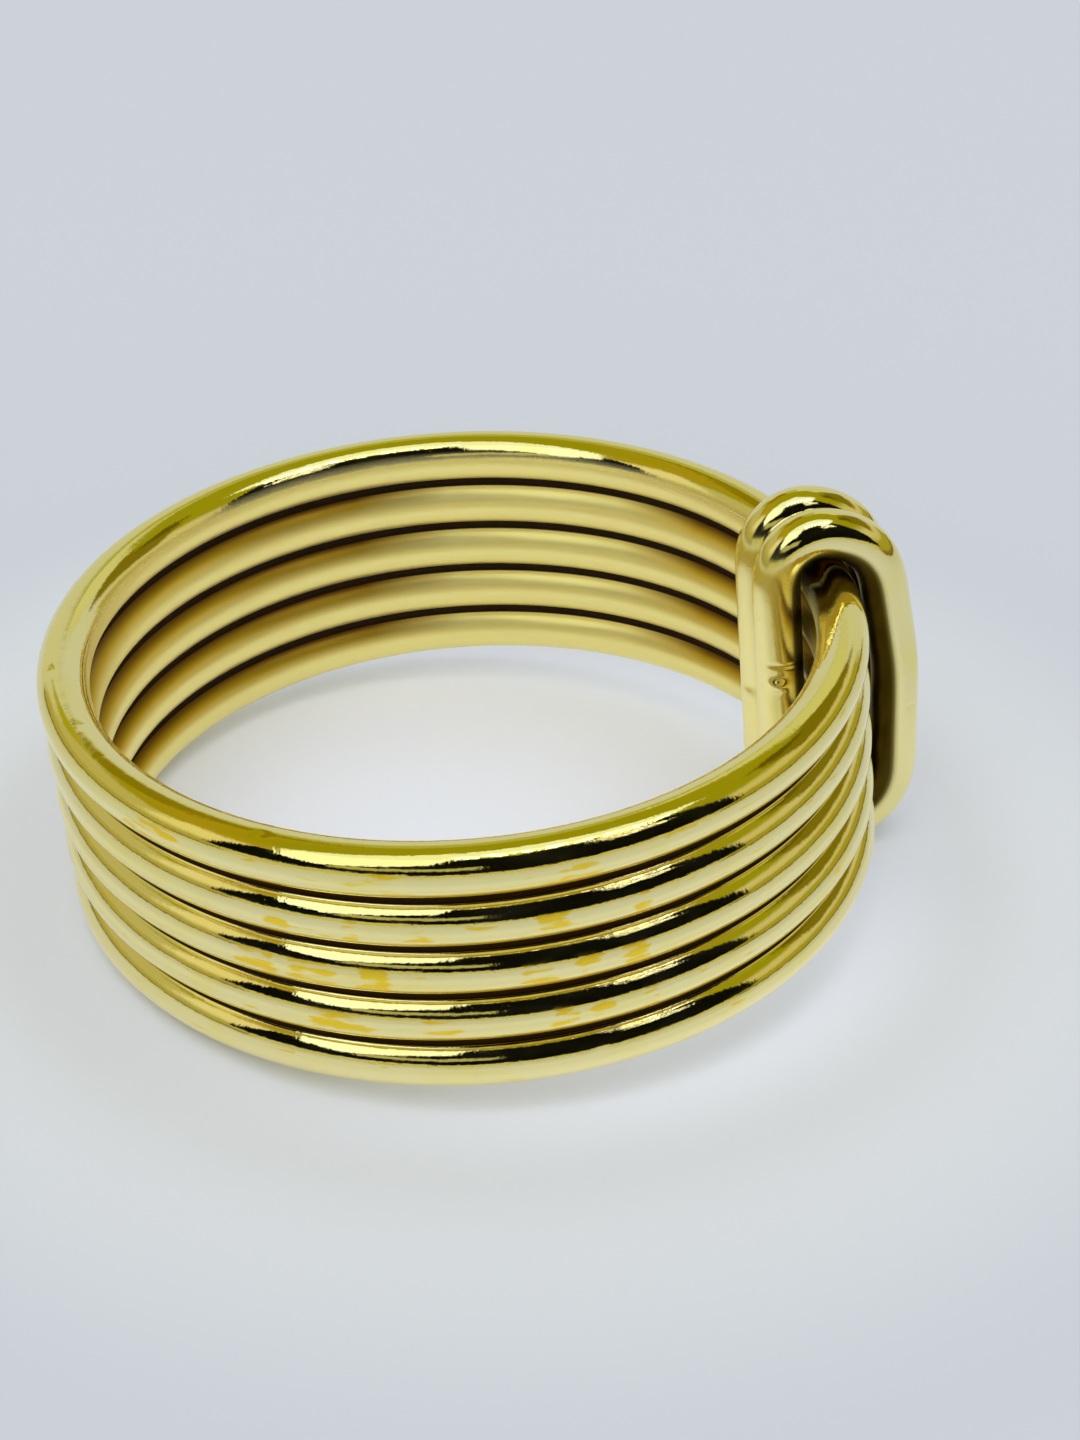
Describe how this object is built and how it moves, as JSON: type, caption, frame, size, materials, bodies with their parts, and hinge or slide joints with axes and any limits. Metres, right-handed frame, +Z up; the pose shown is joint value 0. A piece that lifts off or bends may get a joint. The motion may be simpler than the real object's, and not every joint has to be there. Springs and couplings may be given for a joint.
{
  "type": "band ring",
  "caption": "Finger ring of parallel round gold wires side by side, bound at one side by a wire wrapped round the band.",
  "frame": {"origin": "on the floor, under the middle of the whole ring's bounding box, with the ring lying on its side as it rests by itself", "axes": "+Z up from the floor, close to the ring's own axis; +X towards the wire wrap; +Y along the band at the wrap"},
  "size_m": [0.0214, 0.0196, 0.0092],
  "materials": {
    "wire_band_gold": "polished",
    "wire_wrap_gold": "polished"
  },
  "bodies": {
    "root": {"wire_band": "wire_band_gold", "wire_wrap": "wire_wrap_gold"}
  },
  "joints": []
}
